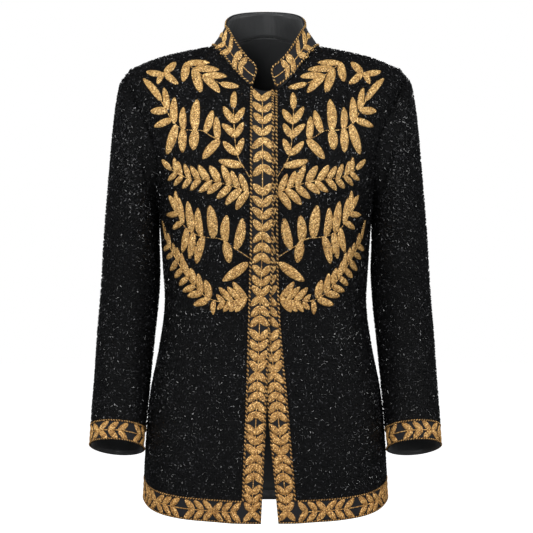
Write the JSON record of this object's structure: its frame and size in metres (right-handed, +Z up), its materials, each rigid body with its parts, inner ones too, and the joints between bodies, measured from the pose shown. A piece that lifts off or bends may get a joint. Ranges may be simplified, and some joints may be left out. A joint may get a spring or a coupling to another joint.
{
  "type": "dinner jacket",
  "caption": "Hollow beaded evening jacket with a stand collar, set-in sleeves, lapped fronts, leafy borders and gold leaf sprays, filled out as if worn.",
  "frame": {"origin": "midway between the two points where a shoulder seam meets the collar, over the shoulders that carry the jacket", "axes": "+X to the wearer's left, -Y out of the front, +Z up"},
  "size_m": [0.5496, 0.2589, 0.8021],
  "materials": {
    "beaded_cloth": "black cloth worked all over with small black glass beads",
    "plain_cloth": "matt black twill",
    "lining_cloth": "dark grey satin",
    "gold_thread": "padded gold metal thread and beads"
  },
  "bodies": {
    "root": {"back": "beaded_cloth", "front_left": "beaded_cloth", "front_right": "beaded_cloth", "sleeve_left": "beaded_cloth", "sleeve_right": "beaded_cloth", "collar": "plain_cloth", "collar_lining": "lining_cloth", "back_lining": "lining_cloth", "cuff_lining_left": "lining_cloth", "cuff_lining_right": "lining_cloth", "star_left": "gold_thread", "star_right": "gold_thread", "shoulder_left": "gold_thread", "shoulder_right": "gold_thread", "long_upper_left": "gold_thread", "long_upper_right": "gold_thread", "upright_left": "gold_thread", "upright_right": "gold_thread", "frond_left": "gold_thread", "frond_right": "gold_thread", "long_lower_left": "gold_thread", "long_lower_right": "gold_thread", "low_leaf_left": "gold_thread", "low_leaf_right": "gold_thread", "arc_left": "gold_thread", "arc_right": "gold_thread", "collar_spray_left": "gold_thread", "collar_spray_right": "gold_thread", "front_border_left": "gold_thread", "front_border_right": "gold_thread", "hem_border_left": "gold_thread", "hem_border_right": "gold_thread", "hem_border_back": "gold_thread", "cuff_border_left": "gold_thread", "cuff_border_right": "gold_thread"}
  },
  "joints": []
}
